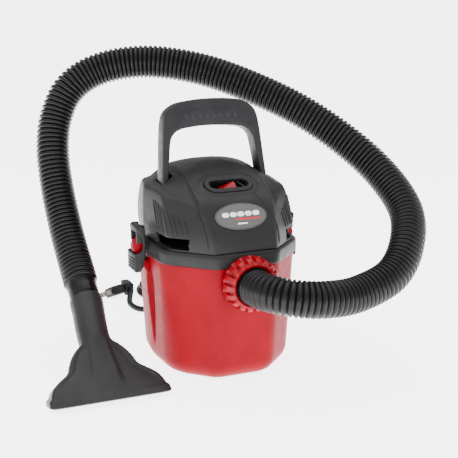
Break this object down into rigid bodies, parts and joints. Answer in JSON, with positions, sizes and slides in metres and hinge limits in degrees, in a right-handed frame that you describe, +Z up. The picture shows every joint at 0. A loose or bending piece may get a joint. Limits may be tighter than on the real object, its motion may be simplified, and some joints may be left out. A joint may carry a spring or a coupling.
{
  "type": "shop vacuum",
  "caption": "Small portable wet and dry vacuum with a rounded tank, lift-off motor head, carry handle, corrugated hose and flared nozzle.",
  "frame": {"origin": "on the floor under the middle of the vacuum without its hose and cord", "axes": "+Z up, the hose inlet and label face -Y, the handle grip runs along X"},
  "size_m": [0.4118, 0.4697, 0.3388],
  "materials": {
    "tank_red": "satin moulded",
    "trim_red": "gloss moulded",
    "head_black": "fine grained",
    "lid_black": "fine grained",
    "label_grey": "satin",
    "hose_black": "satin",
    "nozzle_black": "fine grained",
    "cord_black": "satin",
    "plug_black": "satin moulded",
    "seal_foam": "matte",
    "steel": "satin",
    "fan_metal": "satin",
    "copper": "satin",
    "white_plastic": "satin"
  },
  "bodies": {
    "base": {"tank": "tank_red", "hose": "hose_black", "hose_cuff_inlet": "hose_black", "hose_cuff_nozzle": "hose_black", "utility_nozzle": "nozzle_black", "power_cord": "cord_black", "power_cord_coil": "cord_black", "power_cord_end": "cord_black", "power_plug": "plug_black"},
    "collar": {"inlet_collar": "trim_red"},
    "head": {"lid_base": "lid_black", "lid_seal": "seal_foam", "motor_cover": "head_black", "label_plate": "label_grey", "switch_bezel": "head_black", "switch_body": "lid_black", "fan_housing": "lid_black", "motor_plate": "steel", "bearing_lower": "steel", "bearing_upper": "steel", "motor_stator": "steel", "motor_bracket": "steel", "brush_left": "copper", "brush_right": "copper", "plate_screw_1": "steel", "plate_screw_2": "steel", "plate_screw_3": "steel", "plate_screw_4": "steel", "filter_cage": "lid_black", "foam_sleeve": "seal_foam", "latch_pin_left": "steel", "latch_pin_right": "steel", "strain_relief": "cord_black"},
    "handle": {"carry_handle": "head_black"},
    "latch_l": {"latch_left": "lid_black"},
    "latch_r": {"latch_right": "lid_black"},
    "rocker": {"power_switch": "trim_red"},
    "rotor": {"impeller": "fan_metal", "cooling_fan": "white_plastic", "motor_armature": "copper", "commutator": "copper", "motor_shaft": "steel"},
    "float": {"float_ball": "white_plastic"}
  },
  "joints": [
    {"name": "head_lift", "type": "slide", "parent": "base", "child": "head", "axis": [0, 0, 1], "range_m": [0, 0.085]},
    {"name": "handle_slide", "type": "slide", "parent": "head", "child": "handle", "axis": [0, 0.1702, 0.9854], "range_m": [-0.027, 0]},
    {"name": "latch_left_open", "type": "hinge", "parent": "head", "child": "latch_l", "pos_m": [-0.088, 0, 0.156], "axis": [0, 1, 0], "range_deg": [0, 35]},
    {"name": "latch_right_open", "type": "hinge", "parent": "head", "child": "latch_r", "pos_m": [0.088, 0, 0.156], "axis": [0, -1, 0], "range_deg": [0, 35]},
    {"name": "switch_rock", "type": "hinge", "parent": "head", "child": "rocker", "pos_m": [0, -0.03917, 0.19857], "axis": [0, 0.878, 0.4787], "range_deg": [0, 16]},
    {"name": "rotor_spin", "type": "hinge", "parent": "head", "child": "rotor", "pos_m": [0, 0.01, 0.17], "axis": [0, 0, 1], "continuous": true},
    {"name": "float_rise", "type": "slide", "parent": "head", "child": "float", "axis": [0, 0, 1], "range_m": [0, 0.01]},
    {"name": "collar_turn", "type": "hinge", "parent": "base", "child": "collar", "pos_m": [0, -0.1, 0.111], "axis": [0, -1, 0], "range_deg": [0, 40]}
  ]
}
